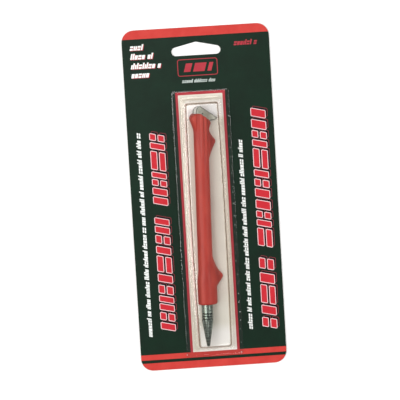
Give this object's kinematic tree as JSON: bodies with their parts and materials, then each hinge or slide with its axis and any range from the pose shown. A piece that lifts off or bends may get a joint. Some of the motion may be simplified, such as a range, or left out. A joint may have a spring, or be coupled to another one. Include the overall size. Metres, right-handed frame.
{
  "type": "carded hand tool",
  "caption": "hang card with a printed face and a heat-sealed clear pocket that holds a moulded-handle hand tool with a steel pick at one end and a turned steel point at the other",
  "frame": {"origin": "centre of the card's back face, which lies on the floor", "axes": "+X to the right of the printed face, +Y towards the hang hole, +Z out of the printed face"},
  "size_m": [0.0952, 0.2222, 0.014],
  "materials": {
    "grey_board": "uncoated recycled board",
    "printed_sheet": "dark green-black print with red stripes and a cream window, glossy varnish",
    "clear_sheet": "clear thermoformed plastic sheet, glossy",
    "red_plastic": "moulded red plastic, semi-gloss",
    "stamped_steel": "stamped steel plate, tumbled grey",
    "turned_steel": "turned steel, fine tool marks round the axis"
  },
  "bodies": {
    "pack": {"card_board": "grey_board", "printed_face": "printed_sheet", "blister_shell": "clear_sheet"},
    "tool": {"handle": "red_plastic", "pick_blade": "stamped_steel", "turned_nose": "turned_steel"}
  },
  "joints": [
    {"name": "tool_slide", "type": "slide", "parent": "pack", "child": "tool", "axis": [0, 1, 0], "range_m": [0, 0.002]}
  ]
}
